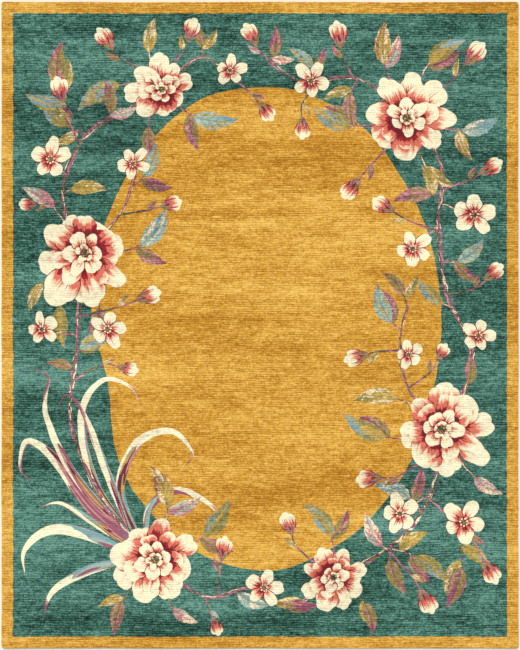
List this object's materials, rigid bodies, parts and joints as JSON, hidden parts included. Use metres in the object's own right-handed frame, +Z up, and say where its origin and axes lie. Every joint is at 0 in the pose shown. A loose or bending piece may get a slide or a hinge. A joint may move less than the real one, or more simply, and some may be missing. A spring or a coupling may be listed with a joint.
{
  "type": "hand-tufted rug",
  "caption": "Flat rectangular hand-tufted rug of short wool pile, with a plain border, a dark ground, an oval medallion and a wreath of flowers.",
  "frame": {"origin": "middle of the underside, on the floor", "axes": "+X across the width, +Y along the length towards the top of the pattern, +Z up"},
  "size_m": [2.44, 3.05, 0.012],
  "materials": {
    "pile": "short cut wool pile, matt, in fine rows"
  },
  "bodies": {
    "root": {"rug": "pile"}
  },
  "joints": []
}
